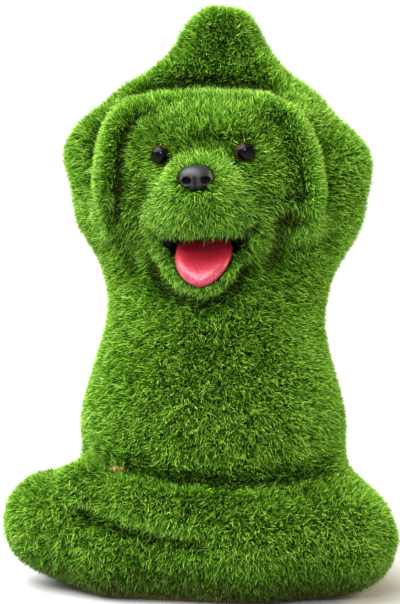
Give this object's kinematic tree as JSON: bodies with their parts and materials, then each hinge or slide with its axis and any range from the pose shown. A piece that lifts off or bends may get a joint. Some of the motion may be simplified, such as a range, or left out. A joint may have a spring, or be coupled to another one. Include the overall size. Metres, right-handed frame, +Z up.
{
  "type": "dog statue",
  "caption": "Cross-legged yoga dog with forepaws joined over its head, covered in artificial grass, with glass eyes, a glossy nose and a tongue.",
  "frame": {"origin": "on the underside, below the middle of the statue's box", "axes": "+Z up, -Y the way the dog faces, +X on the right of someone who looks it in the face"},
  "size_m": [0.201, 0.1372, 0.2879],
  "materials": {
    "grass": "short flocked artificial grass on cast resin, lime at the tips and dark green at the roots",
    "eye": "domed black glass with a thin amber rim",
    "nose": "black satin paint on resin",
    "tongue": "red gloss paint on resin, pinker towards the tip"
  },
  "bodies": {
    "root": {"body": "grass", "eye_left": "eye", "eye_right": "eye", "nose": "nose", "tongue": "tongue"}
  },
  "joints": []
}
